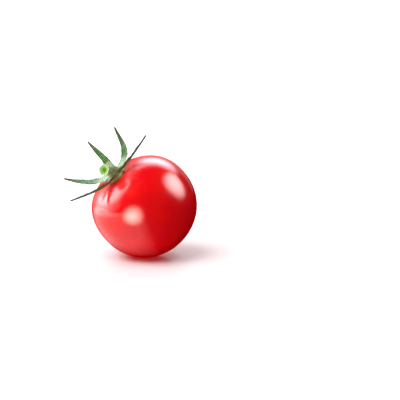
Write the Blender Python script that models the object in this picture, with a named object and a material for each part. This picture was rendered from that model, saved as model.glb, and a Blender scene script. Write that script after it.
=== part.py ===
"""A ripe vine tomato as picked, with its green calyx and a cut stub of its stem.

Metres, +Z up. The berry leans, so that its stem end points up, to -X and to -Y, and it rests on a small
flat spot whose centre is the origin. Each piece is modelled upright round its own axis, stem end up, with
the middle of the berry at zero, and an empty leans them all together.
"""
import math

import bmesh
import bpy
from mathutils import Matrix, Vector

MM = 0.001
GAP = 0.3 * MM  # clearance between pieces that touch
MERGE = 0.005 * MM

# The berry: a slightly flattened ball with full shoulders and a shallow dimple at the stem.
BERRY_WIDTH = 45.0 * MM
STEM_HALF = 20.4 * MM  # middle to the crown, before the dimple is pressed in
BLOSSOM_HALF = 22.1 * MM
SHOULDER_FULLNESS = 2.3  # 2 is a plain ellipsoid, more is squarer
BASE_FULLNESS = 2.08
DIMPLE_DEPTH = 2.0 * MM
DIMPLE_RADIUS = 6.5 * MM
SCAR_DEPTH = 0.35 * MM
SCAR_RADIUS = 1.6 * MM
UNEVEN_SHOULDER = 0.08  # one side of the shoulders is lower
LOW_SIDE_HEADING = math.radians(35.0)
FURROWS = 6  # shallow creases that run out over the shoulders
FURROW_HEADING = math.radians(212.0)
FURROW_DEPTH = 0.4 * MM
FURROW_RADIUS = 9.0 * MM  # where a crease is deepest
FURROW_SPREAD = 5.5 * MM
FURROW_SHARPNESS = 3  # higher is a narrower crease
BERRY_SIDES = 72
BERRY_RINGS = 40
BERRY_SHARP_ANGLE = 30.0
REST_DEPTH = 0.5 * MM  # how much of the underside is flattened
REST_SNAP = 0.15 * MM  # points this close to the flat are moved onto it

# How the berry lies: leaning off the vertical, towards a heading, after a turn about its own stem.
LEAN = math.radians(42.4)
LEAN_HEADING = math.radians(203.7)
STEM_TURN = math.radians(169.7)

# The calyx: a small collar in the dimple that carries five pointed sepals and holds the stem in a socket.
COLLAR_RADIUS = 3.8 * MM
COLLAR_WAIST = 2.85 * MM
COLLAR_TOP_RADIUS = 2.65 * MM
COLLAR_TOP = 21.6 * MM
COLLAR_LIP = 0.5 * MM  # upright edge of its foot
COLLAR_FLARE = 1.3 * MM  # how high the foot's flare reaches
COLLAR_NECK = 0.7 * MM  # length of the waist below the top
COLLAR_ROUNDING = 0.3 * MM
SOCKET_RADIUS = 2.2 * MM
SOCKET_FLOOR = 19.9 * MM
COLLAR_SIDES = 40

# Each sepal's roll in degrees, then its midrib as four curve points round the stem: heading in degrees,
# reach and height in mm from the middle of the berry. The first lies in the collar, the last is the tip.
SEPALS = (
    (21, ((325, 2.3, 20.5), (333, 8.0, 21.4), (341, 14.0, 23.6), (345, 21.8, 25.8))),
    (-18, ((20, 2.3, 20.2), (22, 8.0, 20.5), (48, 15.0, 21.8), (50, 20.6, 30.4))),
    (10, ((84, 2.3, 20.45), (81, 7.5, 21.0), (90, 14.0, 27.5), (89, 21.2, 31.8))),
    (8, ((152, 2.3, 20.3), (146, 9.0, 20.3), (147, 16.0, 23.5), (146, 21.9, 29.4))),
    (-20, ((250, 2.3, 20.55), (222, 8.0, 20.4), (208, 14.5, 23.6), (205, 23.3, 28.6))),
)
SEPAL_WIDTH = 3.1 * MM
SEPAL_ROOT_WIDTH = 2.7 * MM
SEPAL_TIP_WIDTH = 0.7 * MM
SEPAL_WIDEST = 0.36  # share of the length from the root
SEPAL_TAPER = 1.35  # 1 tapers in a straight line to the tip, more keeps it wider for longer
SEPAL_RIB_THICKNESS = 0.9 * MM
SEPAL_EDGE_THICKNESS = 0.62 * MM
SEPAL_THICKENING = 0.1  # rib thickness gained over the edge's, as a share of the width
SEPAL_FOLD = 0.16  # how far the edges lift above the midrib, as a share of the width
SEPAL_FACE = ((0.86, 0.8), (0.45, 0.3))  # shares of half width and of lift, from the edge to the rib
SEPAL_STATIONS = 18
CURVE_STEP = 0.01  # a small share of the length, for the direction along the midrib
SHARP_ANGLE = 50.0

# The stem stub: out of its socket, thick above the collar, bent over at the swollen joint, and cut square.
STEM_ROUTE = (
    ((0, 0, 20.2), 1.85),
    ((0, 0, 21.6), 1.85),
    ((0, -0.15, 22.9), 2.45),
    ((-0.1, -1.4, 24.4), 2.45),
    ((-0.4, -3.7, 24.8), 2.35),
    ((-1.1, -6.2, 26.2), 1.95),
    ((-1.95, -8.8, 28.3), 2.25),
)  # centre in mm and radius in mm
STEM_SIDES = 30
STEM_STEPS = 4  # rings between two points of the route
STEM_RIDGES = 5
RIDGE_HEIGHT = 0.10 * MM
PITH_RADIUS_SHARE = 0.62
PITH_RECESS = 0.25 * MM

SKIN_RED = (0.72, 0.012, 0.010)
SEPAL_GREEN = (0.075, 0.20, 0.045)
STEM_GREEN = (0.16, 0.26, 0.05)


def clear_scene():
    for thing in list(bpy.data.objects):
        bpy.data.objects.remove(thing, do_unlink=True)


def plain_material(name, colour, roughness):
    """One Principled finish for a whole piece."""
    material = bpy.data.materials.new(name)
    material.use_nodes = True
    shader = material.node_tree.nodes["Principled BSDF"]
    shader.inputs["Base Color"].default_value = (*colour, 1.0)
    shader.inputs["Roughness"].default_value = roughness
    shader.inputs["Metallic"].default_value = 0.0
    return material


def finish_object(name, bm, material, holder, sharp_angle=SHARP_ANGLE):
    """Turn a bmesh into a smooth-shaded object that hangs on the leaning empty."""
    bmesh.ops.triangulate(bm, faces=bm.faces)
    bmesh.ops.recalc_face_normals(bm, faces=bm.faces)
    mesh = bpy.data.meshes.new(name)
    bm.to_mesh(mesh)
    bm.free()
    mesh.shade_smooth()
    mesh.set_sharp_from_angle(angle=math.radians(sharp_angle))
    mesh.materials.append(material)
    thing = bpy.data.objects.new(name, mesh)
    bpy.context.collection.objects.link(thing)
    thing.parent = holder
    return thing


def crown_height(reach):
    """Height of the berry's skin on the stem side, at a distance from the stem axis."""
    share = min(abs(reach) / (BERRY_WIDTH / 2), 1.0)
    dome = STEM_HALF * (1 - share ** SHOULDER_FULLNESS) ** (1 / SHOULDER_FULLNESS)
    return dome - DIMPLE_DEPTH * math.exp(-((reach / DIMPLE_RADIUS) ** 2))


def berry_point(direction):
    """Where the skin lies in a direction from the middle of the berry."""
    flat = math.hypot(direction.x, direction.y)
    heading = math.atan2(direction.y, direction.x)
    polar = math.atan2(flat, direction.z)
    if direction.z >= 0:
        reach = BERRY_WIDTH / 2 * math.sin(polar) ** (2 / SHOULDER_FULLNESS)
        height = crown_height(reach)
        side = reach * math.cos(heading - LOW_SIDE_HEADING)
        height -= UNEVEN_SHOULDER * side * height / STEM_HALF
        crease = (0.5 + 0.5 * math.cos(FURROWS * (heading - FURROW_HEADING))) ** FURROW_SHARPNESS
        crease *= math.exp(-(((reach - FURROW_RADIUS) / FURROW_SPREAD) ** 2))
    else:
        reach = BERRY_WIDTH / 2 * math.sin(polar) ** (2 / BASE_FULLNESS)
        height = -BLOSSOM_HALF * abs(math.cos(polar)) ** (2 / BASE_FULLNESS)
        height += SCAR_DEPTH * math.exp(-((reach / SCAR_RADIUS) ** 2))
        crease = 0.0
    point = Vector((reach * math.cos(heading), reach * math.sin(heading), height))
    return point - point.normalized() * FURROW_DEPTH * crease


def flatten_underside(bm, down):
    """Cut a thin cap off the side that faces down and close it flat. Returns the middle of the flat."""
    lowest = max(vert.co.dot(down) for vert in bm.verts)
    bmesh.ops.bisect_plane(
        bm,
        geom=[*bm.verts, *bm.edges, *bm.faces],
        dist=REST_SNAP,
        use_snap_center=True,
        plane_co=down * (lowest - REST_DEPTH),
        plane_no=down,
        clear_outer=True,
    )
    rim = [edge for edge in bm.edges if edge.is_boundary]
    spot = bmesh.ops.contextual_create(bm, geom=rim)["faces"][0]
    return spot.calc_center_median_weighted()


def make_berry(holder, turn):
    bm = bmesh.new()
    bmesh.ops.create_uvsphere(bm, u_segments=BERRY_SIDES, v_segments=BERRY_RINGS, radius=1.0)
    for vert in bm.verts:
        vert.co = berry_point(vert.co.normalized())
    spot = flatten_underside(bm, turn.inverted() @ Vector((0, 0, -1)))
    finish_object("fruit", bm, plain_material("tomato skin", SKIN_RED, 0.12), holder, BERRY_SHARP_ANGLE)
    return spot


def ring_of_points(bm, centre, across, upward, offsets):
    """A closed ring of vertices: each offset is measured along the two directions from the centre."""
    return [bm.verts.new(centre + across * side + upward * lift) for side, lift in offsets]


def skin_rings(bm, rings):
    """Join rings of equal length with quads and close both ends."""
    for lower, upper in zip(rings, rings[1:]):
        count = len(lower)
        for i in range(count):
            j = (i + 1) % count
            bm.faces.new((lower[i], lower[j], upper[j], upper[i]))
    bm.faces.new(list(reversed(rings[0])))
    bm.faces.new(rings[-1])


def midrib_point(points, share):
    """A point of the cubic curve through heading, reach and height."""
    rest = 1 - share
    weights = (rest ** 3, 3 * rest ** 2 * share, 3 * rest * share ** 2, share ** 3)
    heading, reach, height = (sum(w * p[axis] for w, p in zip(weights, points)) for axis in range(3))
    heading = math.radians(heading)
    return Vector((reach * math.cos(heading), reach * math.sin(heading), height)) * MM


def sepal_width(share):
    """Widens from the root to its widest place, then tapers in a long curve to the tip."""
    if share < SEPAL_WIDEST:
        rise = math.sin(0.5 * math.pi * share / SEPAL_WIDEST)
        return SEPAL_ROOT_WIDTH + (SEPAL_WIDTH - SEPAL_ROOT_WIDTH) * rise
    fall = (share - SEPAL_WIDEST) / (1 - SEPAL_WIDEST)
    return SEPAL_TIP_WIDTH + (SEPAL_WIDTH - SEPAL_TIP_WIDTH) * (1 - fall ** SEPAL_TAPER)


def sepal_outline(width):
    """Cross-section of the blade: folded up a little along the midrib, thickest there."""
    half = width / 2
    lift = SEPAL_FOLD * width
    rib = min(SEPAL_RIB_THICKNESS, SEPAL_EDGE_THICKNESS + SEPAL_THICKENING * width) / 2
    edge = SEPAL_EDGE_THICKNESS / 2
    upper = [(half * out, lift * up + edge) for out, up in SEPAL_FACE]
    lower = [(half * out, lift * up - edge) for out, up in SEPAL_FACE]
    right_side = [(0.0, -rib), *reversed(lower), (half, lift), *upper]
    left_side = [(-out, up) for out, up in reversed(right_side[1:])]
    return [*right_side, (0.0, rib), *left_side]


def make_sepal(roll, points, name):
    """One leafy blade along its midrib, as a loose solid to be joined to the collar."""
    bm = bmesh.new()
    rings = []
    for i in range(SEPAL_STATIONS + 1):
        share = i / SEPAL_STATIONS
        centre = midrib_point(points, share)
        ahead = midrib_point(points, share + CURVE_STEP) - midrib_point(points, share - CURVE_STEP)
        across = Vector((0, 0, 1)).cross(ahead).normalized()
        across.rotate(Matrix.Rotation(-math.radians(roll) * min(share / SEPAL_WIDEST, 1.0), 3, ahead))
        upward = ahead.cross(across).normalized()
        rings.append(ring_of_points(bm, centre, across, upward, sepal_outline(sepal_width(share))))
    skin_rings(bm, rings)
    bmesh.ops.triangulate(bm, faces=bm.faces)
    bmesh.ops.recalc_face_normals(bm, faces=bm.faces)
    mesh = bpy.data.meshes.new(name)
    bm.to_mesh(mesh)
    bm.free()
    return bpy.data.objects.new(name, mesh)


def collar_profile():
    """Half outline of the collar, from its underside's middle round to the socket's floor."""
    reaches = [share * COLLAR_RADIUS for share in (0, 0.4, 0.75, 1)]
    under = [(reach, crown_height(reach) + GAP) for reach in reaches]
    rim = under[-1][1]
    side = [
        (COLLAR_RADIUS, rim + COLLAR_LIP),
        ((COLLAR_RADIUS + COLLAR_WAIST) / 2, rim + COLLAR_FLARE),
        (COLLAR_WAIST, COLLAR_TOP - COLLAR_NECK),
        (COLLAR_TOP_RADIUS, COLLAR_TOP - COLLAR_ROUNDING),
        (COLLAR_TOP_RADIUS - COLLAR_ROUNDING / 2, COLLAR_TOP),
        (SOCKET_RADIUS, COLLAR_TOP),
        (SOCKET_RADIUS, SOCKET_FLOOR),
        (0.0, SOCKET_FLOOR),
    ]
    return under + side


def make_collar():
    """The collar turned about the stem axis."""
    bm = bmesh.new()
    outline = [bm.verts.new((reach, 0, height)) for reach, height in collar_profile()]
    edges = [bm.edges.new(pair) for pair in zip(outline, outline[1:])]
    bmesh.ops.spin(
        bm,
        geom=[*outline, *edges],
        axis=(0, 0, 1),
        cent=(0, 0, 0),
        angle=2 * math.pi,
        steps=COLLAR_SIDES,
        use_merge=True,
    )
    bmesh.ops.remove_doubles(bm, verts=bm.verts, dist=MERGE)
    return bm


def make_calyx(holder):
    """The collar with its five sepals, joined into one body."""
    green = plain_material("sepal green", SEPAL_GREEN, 0.6)
    calyx = finish_object("calyx", make_collar(), green, holder)
    blades = bpy.data.collections.new("sepals")
    bpy.context.scene.collection.children.link(blades)
    for number, (roll, points) in enumerate(SEPALS):
        blade = make_sepal(roll, points, f"sepal_{number}")
        blades.objects.link(blade)
        blade.parent = holder
    join = calyx.modifiers.new("join sepals", "BOOLEAN")
    join.operation = "UNION"
    join.operand_type = "COLLECTION"
    join.collection = blades
    join.solver = "EXACT"
    bpy.context.view_layer.update()
    joined = bpy.data.meshes.new_from_object(calyx.evaluated_get(bpy.context.evaluated_depsgraph_get()))
    calyx.modifiers.clear()
    calyx.data = joined
    calyx.data.name = "calyx"
    calyx.data.shade_smooth()
    calyx.data.set_sharp_from_angle(angle=math.radians(SHARP_ANGLE))
    for blade in list(blades.objects):
        bpy.data.objects.remove(blade, do_unlink=True)
    bpy.data.collections.remove(blades)


def stem_stations():
    """Smooth centre points and radii along the stub, by a curve through the points of the route."""
    centres = [Vector(centre) * MM for centre, radius in STEM_ROUTE]
    radii = [radius * MM for centre, radius in STEM_ROUTE]
    stations = []
    for i in range(len(centres) - 1):
        before, after = max(i - 1, 0), min(i + 2, len(centres) - 1)
        for step in range(STEM_STEPS):
            t = step / STEM_STEPS
            weights = (
                -0.5 * t + t ** 2 - 0.5 * t ** 3,
                1 - 2.5 * t ** 2 + 1.5 * t ** 3,
                0.5 * t + 2 * t ** 2 - 1.5 * t ** 3,
                -0.5 * t ** 2 + 0.5 * t ** 3,
            )
            span = (before, i, i + 1, after)
            centre = sum((centres[k] * w for k, w in zip(span, weights)), Vector())
            radius = sum(radii[k] * w for k, w in zip(span, weights))
            stations.append((centre, radius))
    stations.append((centres[-1], radii[-1]))
    return stations


def make_stem(holder):
    """A ridged tube along the route, with the pith a little lower than the rim at the cut."""
    bm = bmesh.new()
    stations = stem_stations()
    across = Vector((1, 0, 0))
    rings = []
    for i, (centre, radius) in enumerate(stations):
        ahead = stations[min(i + 1, len(stations) - 1)][0] - stations[max(i - 1, 0)][0]
        ahead.normalize()
        across = (across - ahead * across.dot(ahead)).normalized()
        upward = ahead.cross(across)
        offsets = []
        for k in range(STEM_SIDES):
            angle = 2 * math.pi * k / STEM_SIDES
            ridge = RIDGE_HEIGHT * math.cos(STEM_RIDGES * angle) * min(i / STEM_STEPS, 1.0)
            offsets.append(((radius + ridge) * math.cos(angle), (radius + ridge) * math.sin(angle)))
        rings.append(ring_of_points(bm, centre, across, upward, offsets))
    skin_rings(bm, rings)
    bm.faces.ensure_lookup_table()
    cut_end = bm.faces[-1]
    rim_width = stations[-1][1] * (1 - PITH_RADIUS_SHARE)
    bmesh.ops.inset_individual(bm, faces=[cut_end], thickness=rim_width, depth=0)
    bmesh.ops.inset_individual(bm, faces=[cut_end], thickness=PITH_RECESS, depth=-PITH_RECESS)
    finish_object("stem", bm, plain_material("cut stem", STEM_GREEN, 0.55), holder)


def main():
    clear_scene()
    turn = (
        Matrix.Rotation(LEAN_HEADING, 3, "Z")
        @ Matrix.Rotation(LEAN, 3, "Y")
        @ Matrix.Rotation(STEM_TURN, 3, "Z")
    )
    holder = bpy.data.objects.new("tomato", None)
    bpy.context.collection.objects.link(holder)
    holder.empty_display_size = BERRY_WIDTH / 2
    holder.rotation_euler = turn.to_euler()
    spot = make_berry(holder, turn)
    holder.location = -(turn @ spot)
    bpy.context.view_layer.update()
    make_calyx(holder)
    make_stem(holder)


main()
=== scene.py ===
"""A ripe vine tomato as picked: glossy red fruit, green calyx with five sepals, and a cut stub of stalk."""
import math
import random

import bpy
from mathutils import Matrix, Vector, noise


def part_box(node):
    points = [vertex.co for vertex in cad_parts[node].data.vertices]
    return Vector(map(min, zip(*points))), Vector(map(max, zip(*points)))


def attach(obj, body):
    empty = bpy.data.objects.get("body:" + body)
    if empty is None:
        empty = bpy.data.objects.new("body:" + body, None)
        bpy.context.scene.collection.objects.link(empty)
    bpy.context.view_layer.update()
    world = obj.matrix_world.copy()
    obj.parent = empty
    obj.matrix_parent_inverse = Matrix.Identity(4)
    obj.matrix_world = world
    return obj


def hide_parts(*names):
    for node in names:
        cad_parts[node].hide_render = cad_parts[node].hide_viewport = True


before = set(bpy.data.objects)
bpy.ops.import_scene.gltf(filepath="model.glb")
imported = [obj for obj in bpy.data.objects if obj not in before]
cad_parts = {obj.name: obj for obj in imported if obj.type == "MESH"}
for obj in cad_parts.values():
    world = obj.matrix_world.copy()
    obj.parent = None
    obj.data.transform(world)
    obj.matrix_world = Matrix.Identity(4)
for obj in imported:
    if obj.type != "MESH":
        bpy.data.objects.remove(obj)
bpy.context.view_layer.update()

# The fruit
# One fleshy berry, grown in one piece: a thin waxy skin stretched tight over red flesh. It has a shallow
# dimple and faint creases round the stalk, a corky dot where the flower fell off, and it lies on a small
# flat spot, with its stem end leaning up to one side.
MM = 0.001
FRUIT_WIDTH = 45.0 * MM
STEM_HALF = 20.4 * MM  # from the middle to the crown, before the dimple is pressed in
BLOSSOM_HALF = 22.1 * MM
SHOULDER_FULLNESS = 2.3  # 2 is a plain ellipsoid, more is squarer
BASE_FULLNESS = 2.08
DIMPLE_DEPTH = 2.0 * MM
DIMPLE_RADIUS = 6.5 * MM
UNEVEN_SHOULDER = 0.08
LOW_SIDE_HEADING = math.radians(35.0)
FURROWS = 6
FURROW_HEADING = math.radians(209.0)
FURROW_DEPTH = 0.4 * MM
FURROW_RADIUS = 9.0 * MM
FURROW_SPREAD = 5.5 * MM
FURROW_SHARPNESS = 3
FURROW_UNEVENNESS = 0.4  # the furrows grow shallower away from the deepest one
CREASE_DEPTH = 0.3 * MM  # the narrow line at the bottom of the deepest furrow
CREASE_WIDTH = math.radians(8.0)
CREASE_RADIUS = 9.5 * MM
CREASE_SPREAD = 4.0 * MM
HOLLOW_DEPTH = 0.4 * MM  # the flat patch beside it
HOLLOW_HEADING = math.radians(241.0)
HOLLOW_REACH = 15.0 * MM
HOLLOW_WIDTH = 5.5 * MM
SCAR_DEPTH = 0.35 * MM
SCAR_RADIUS = 1.6 * MM
SCAR_DOT_HEIGHT = 0.3 * MM
SCAR_DOT_RADIUS = 0.55 * MM
SWELLS = ((14.0 * MM, 0.10 * MM), (6.0 * MM, 0.022 * MM))  # width and height of the slow unevenness
SKIN_SIDES = 288
SKIN_RINGS = 168
POLE_CROWDING = 0.33  # brings the rings closer together at the stalk and at the scar
SOFT_EDGE = 0.15 * MM  # rounding where the flat spot meets the curve

LEAN = math.radians(42.4)
LEAN_HEADING = math.radians(203.7)
STEM_TURN = math.radians(169.7)
turn = (
    Matrix.Rotation(LEAN_HEADING, 3, "Z")
    @ Matrix.Rotation(LEAN, 3, "Y")
    @ Matrix.Rotation(STEM_TURN, 3, "Z")
)


def crown_height(reach):
    """Height of the skin on the stem side, at a distance from the stem axis."""
    share = min(abs(reach) / (FRUIT_WIDTH / 2), 1.0)
    dome = STEM_HALF * (1 - share ** SHOULDER_FULLNESS) ** (1 / SHOULDER_FULLNESS)
    return dome - DIMPLE_DEPTH * math.exp(-((reach / DIMPLE_RADIUS) ** 2))


def skin_point(polar, heading):
    """Where the skin lies, by the angle off the stem axis and the heading round it."""
    if polar <= math.pi / 2:
        reach = FRUIT_WIDTH / 2 * math.sin(polar) ** (2 / SHOULDER_FULLNESS)
        height = crown_height(reach)
        side = reach * math.cos(heading - LOW_SIDE_HEADING)
        height -= UNEVEN_SHOULDER * side * height / STEM_HALF
        swing = 0.5 + 0.5 * math.cos(FURROWS * (heading - FURROW_HEADING))
        fall = math.exp(-(((reach - FURROW_RADIUS) / FURROW_SPREAD) ** 2))
        share = 1 - FURROW_UNEVENNESS * (1 - math.cos(heading - FURROW_HEADING))
        pressed = FURROW_DEPTH * share * swing ** FURROW_SHARPNESS * fall
        off_line = math.remainder(heading - FURROW_HEADING, 2 * math.pi) / CREASE_WIDTH
        fall = math.exp(-(((reach - CREASE_RADIUS) / CREASE_SPREAD) ** 2))
        pressed += CREASE_DEPTH * math.exp(-(off_line ** 2)) * fall
        off_hollow = math.hypot(
            reach * math.cos(heading) - HOLLOW_REACH * math.cos(HOLLOW_HEADING),
            reach * math.sin(heading) - HOLLOW_REACH * math.sin(HOLLOW_HEADING),
        )
        pressed += HOLLOW_DEPTH * math.exp(-((off_hollow / HOLLOW_WIDTH) ** 2))
    else:
        reach = FRUIT_WIDTH / 2 * math.sin(polar) ** (2 / BASE_FULLNESS)
        height = -BLOSSOM_HALF * abs(math.cos(polar)) ** (2 / BASE_FULLNESS)
        pressed = SCAR_DEPTH * math.exp(-((reach / SCAR_RADIUS) ** 2))
        pressed -= SCAR_DOT_HEIGHT * math.exp(-((reach / SCAR_DOT_RADIUS) ** 4))
    point = Vector((reach * math.cos(heading), reach * math.sin(heading), height))
    for width, rise in SWELLS:
        pressed += rise * noise.noise(point / width)
    return point - point.normalized() * pressed


bpy.ops.object.select_all(action="DESELECT")
bpy.ops.mesh.primitive_uv_sphere_add(segments=SKIN_SIDES, ring_count=SKIN_RINGS, radius=1)
fruit = bpy.context.object
fruit.name = "skin"
for vert in fruit.data.vertices:
    polar = math.acos(max(-1.0, min(1.0, vert.co.z)))
    polar -= POLE_CROWDING * math.sin(2 * polar)
    vert.co = turn @ skin_point(polar, math.atan2(vert.co.y, vert.co.x))

# The fruit's own middle, in the row frame: its widest points and its top lie where the frame has them.
lowest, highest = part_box("fruit")
spans = [[vert.co[axis] for vert in fruit.data.vertices] for axis in range(3)]
middle = (lowest + highest) / 2 - Vector([(min(span) + max(span)) / 2 for span in spans])
middle.z = highest.z - max(spans[2])
for vert in fruit.data.vertices:
    vert.co += middle
    vert.co.z = (vert.co.z + math.hypot(vert.co.z, SOFT_EDGE)) / 2
bpy.ops.object.shade_smooth()
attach(fruit, "root")
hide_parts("fruit")


def colour(text):
    """Linear RGBA of an sRGB hex colour."""
    parts = [int(text[i:i + 2], 16) / 255 for i in (1, 3, 5)]
    return (*(p / 12.92 if p <= 0.04045 else ((p + 0.055) / 1.055) ** 2.4 for p in parts), 1.0)


def add_node(tree, kind, sockets, **settings):
    """A node with its settings. Each socket is given a value, or another node's output to link."""
    made = tree.nodes.new(kind)
    for name, value in settings.items():
        setattr(made, name, value)
    for socket, value in sockets.items():
        if isinstance(value, bpy.types.NodeSocket):
            tree.links.new(value, made.inputs[socket])
        else:
            made.inputs[socket].default_value = value
    return made


# Ripe tomato skin: a clear waxy layer with a hard gloss over red flesh that lets some light in. The eye sees
# deep red with slow drifts towards orange, faint paler streaks over the shoulders and fine pale flecks. A
# waxy bloom dulls the gloss round the stalk, and the gloss fades where the skin is seen edge on.
DRIFT_WIDTH = 11 * MM
STREAKS_ROUND = 9  # how closely the streaks stand round the fruit
STREAK_SLANT = 25  # how much they change for each metre along the stem axis
STREAK_STRENGTH = 0.35
SHOULDER_HEIGHTS = (9 * MM, 20 * MM)  # above the middle: where the shoulders' look begins, and is full
STEM_ZONES = {
    "orange": (6.5, 3.5, 0.7),
    "bloom": (15, 9, 1.0),
    "scar": (0.95, 0.55, 1.0),
}  # in mm from the stem axis: where each begins, and is full; and its strength there
FLECK_SPACING = 1.3 * MM  # as wide apart as on the real skin
FLECK_STRENGTH = 0.08
PORE_WIDTH = 0.7 * MM
PORE_DEPTH = 0.006 * MM
POLISH = (0.16, 0.2)  # the least and the most roughness of the clean skin
BLOOM_ROUGHNESS = 0.3  # comes on top
SCAR_ROUGHNESS = 0.85
COAT = 0.45
BLOOMED_COAT = 0.05
EDGE_ON = (0.58, 0.84)  # where the gloss begins to fade, and is almost gone: 0 faces the eye, 1 is edge on
EDGE_GLOSS = 0.02
skin = bpy.data.materials.new("ripe tomato skin")
skin.use_nodes = True
tree = skin.node_tree
place = add_node(tree, "ShaderNodeTexCoord", {}).outputs["Object"]
upright = add_node(
    tree,
    "ShaderNodeMapping",
    {"Vector": place, "Location": middle, "Rotation": turn.to_euler()},
    vector_type="TEXTURE",
).outputs[0]
flattened = add_node(
    tree, "ShaderNodeVectorMath", {0: upright, 1: (1, 1, 0)}, operation="MULTIPLY"
).outputs[0]
off_axis = add_node(tree, "ShaderNodeVectorMath", {0: flattened}, operation="LENGTH").outputs["Value"]
height = add_node(tree, "ShaderNodeSeparateXYZ", {0: upright}).outputs["Z"]
shoulder = add_node(
    tree,
    "ShaderNodeMapRange",
    {0: height, 1: SHOULDER_HEIGHTS[0], 2: SHOULDER_HEIGHTS[1]},
    interpolation_type="SMOOTHSTEP",
).outputs[0]
drift = add_node(
    tree,
    "ShaderNodeTexNoise",
    {"Vector": upright, "Scale": 1 / DRIFT_WIDTH, "Detail": 3.0, "Roughness": 0.55},
).outputs[0]
drift = add_node(
    tree, "ShaderNodeMapRange", {0: drift, 1: 0.38, 2: 0.68}, interpolation_type="SMOOTHSTEP"
).outputs[0]
flesh = add_node(
    tree, "ShaderNodeMix", {0: drift, 6: colour("#DE0010"), 7: colour("#E60707")}, data_type="RGBA"
).outputs[2]

# Streaks run down from the stalk, so they follow the heading, and hardly the height.
round_place = add_node(tree, "ShaderNodeVectorMath", {0: flattened}, operation="NORMALIZE").outputs[0]
slow_height = add_node(
    tree, "ShaderNodeVectorMath", {0: upright, 1: (0, 0, STREAK_SLANT)}, operation="MULTIPLY"
).outputs[0]
streak_place = add_node(
    tree, "ShaderNodeVectorMath", {0: round_place, 1: slow_height}, operation="ADD"
).outputs[0]
streaks = add_node(
    tree, "ShaderNodeTexNoise", {"Vector": streak_place, "Scale": STREAKS_ROUND, "Detail": 3.0}
).outputs[0]
streaks = add_node(
    tree, "ShaderNodeMapRange", {0: streaks, 1: 0.55, 2: 0.75, 4: STREAK_STRENGTH}
).outputs[0]
streaks = add_node(tree, "ShaderNodeMath", {0: streaks, 1: shoulder}, operation="MULTIPLY").outputs[0]
flecks = add_node(
    tree, "ShaderNodeTexVoronoi", {"Vector": upright, "Scale": 1 / FLECK_SPACING}
).outputs["Distance"]
flecks = add_node(tree, "ShaderNodeMapRange", {0: flecks, 1: 0.16, 2: 0.08, 4: FLECK_STRENGTH}).outputs[0]
below = add_node(tree, "ShaderNodeMath", {0: height, 1: 0.0}, operation="LESS_THAN").outputs[0]
zones = {}
for name, end in (("orange", shoulder), ("bloom", shoulder), ("scar", below)):
    begins, full, most = STEM_ZONES[name]
    zone = add_node(
        tree,
        "ShaderNodeMapRange",
        {0: off_axis, 1: begins * MM, 2: full * MM, 4: most},
        interpolation_type="SMOOTHSTEP",
    ).outputs[0]
    zones[name] = add_node(tree, "ShaderNodeMath", {0: zone, 1: end}, operation="MULTIPLY").outputs[0]
for amount, shade in (
    (streaks, "#F0502A"),
    (zones["orange"], "#D9822B"),
    (flecks, "#F59A5E"),
    (zones["scar"], "#6A4420"),
):
    flesh = add_node(
        tree, "ShaderNodeMix", {0: amount, 6: flesh, 7: colour(shade)}, data_type="RGBA"
    ).outputs[2]

# The surface: pores, bloom and scar set how rough it is, bloom and edge how glossy.
pores = add_node(
    tree, "ShaderNodeTexNoise", {"Vector": upright, "Scale": 1 / PORE_WIDTH, "Detail": 2.0}
).outputs[0]
haze = add_node(
    tree, "ShaderNodeMapRange", {0: pores, 1: 0.3, 2: 0.7, 3: POLISH[0], 4: POLISH[1]}
).outputs[0]
haze = add_node(
    tree, "ShaderNodeMath", {0: zones["bloom"], 1: BLOOM_ROUGHNESS, 2: haze}, operation="MULTIPLY_ADD"
).outputs[0]
haze = add_node(tree, "ShaderNodeMix", {0: zones["scar"], 2: haze, 3: SCAR_ROUGHNESS}).outputs[0]
facing = add_node(tree, "ShaderNodeLayerWeight", {0: 0.5}).outputs["Facing"]
gloss = add_node(
    tree,
    "ShaderNodeMapRange",
    {0: facing, 1: EDGE_ON[0], 2: EDGE_ON[1], 3: 1.0, 4: EDGE_GLOSS},
    interpolation_type="SMOOTHSTEP",
).outputs[0]
wax = add_node(tree, "ShaderNodeMapRange", {0: zones["bloom"], 3: COAT, 4: BLOOMED_COAT}).outputs[0]
wax = add_node(tree, "ShaderNodeMath", {0: wax, 1: gloss}, operation="MULTIPLY").outputs[0]
specular = add_node(tree, "ShaderNodeMath", {0: gloss, 1: 0.5}, operation="MULTIPLY").outputs[0]
relief = add_node(
    tree, "ShaderNodeBump", {"Height": pores, "Strength": 0.4, "Distance": PORE_DEPTH}
).outputs[0]
shader = tree.nodes["Principled BSDF"]
tree.links.new(flesh, shader.inputs["Base Color"])
tree.links.new(haze, shader.inputs["Roughness"])
tree.links.new(relief, shader.inputs["Normal"])
tree.links.new(wax, shader.inputs["Coat Weight"])
tree.links.new(specular, shader.inputs["Specular IOR Level"])
shader.inputs["IOR"].default_value = 1.45
shader.inputs["Coat Roughness"].default_value = 0.08
shader.inputs["Coat IOR"].default_value = 1.45
shader.inputs["Subsurface Weight"].default_value = 0.4
shader.inputs["Subsurface Radius"].default_value = (1.0, 0.16, 0.08)
shader.inputs["Subsurface Scale"].default_value = 2.5 * MM
fruit.data.materials.append(skin)

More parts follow.
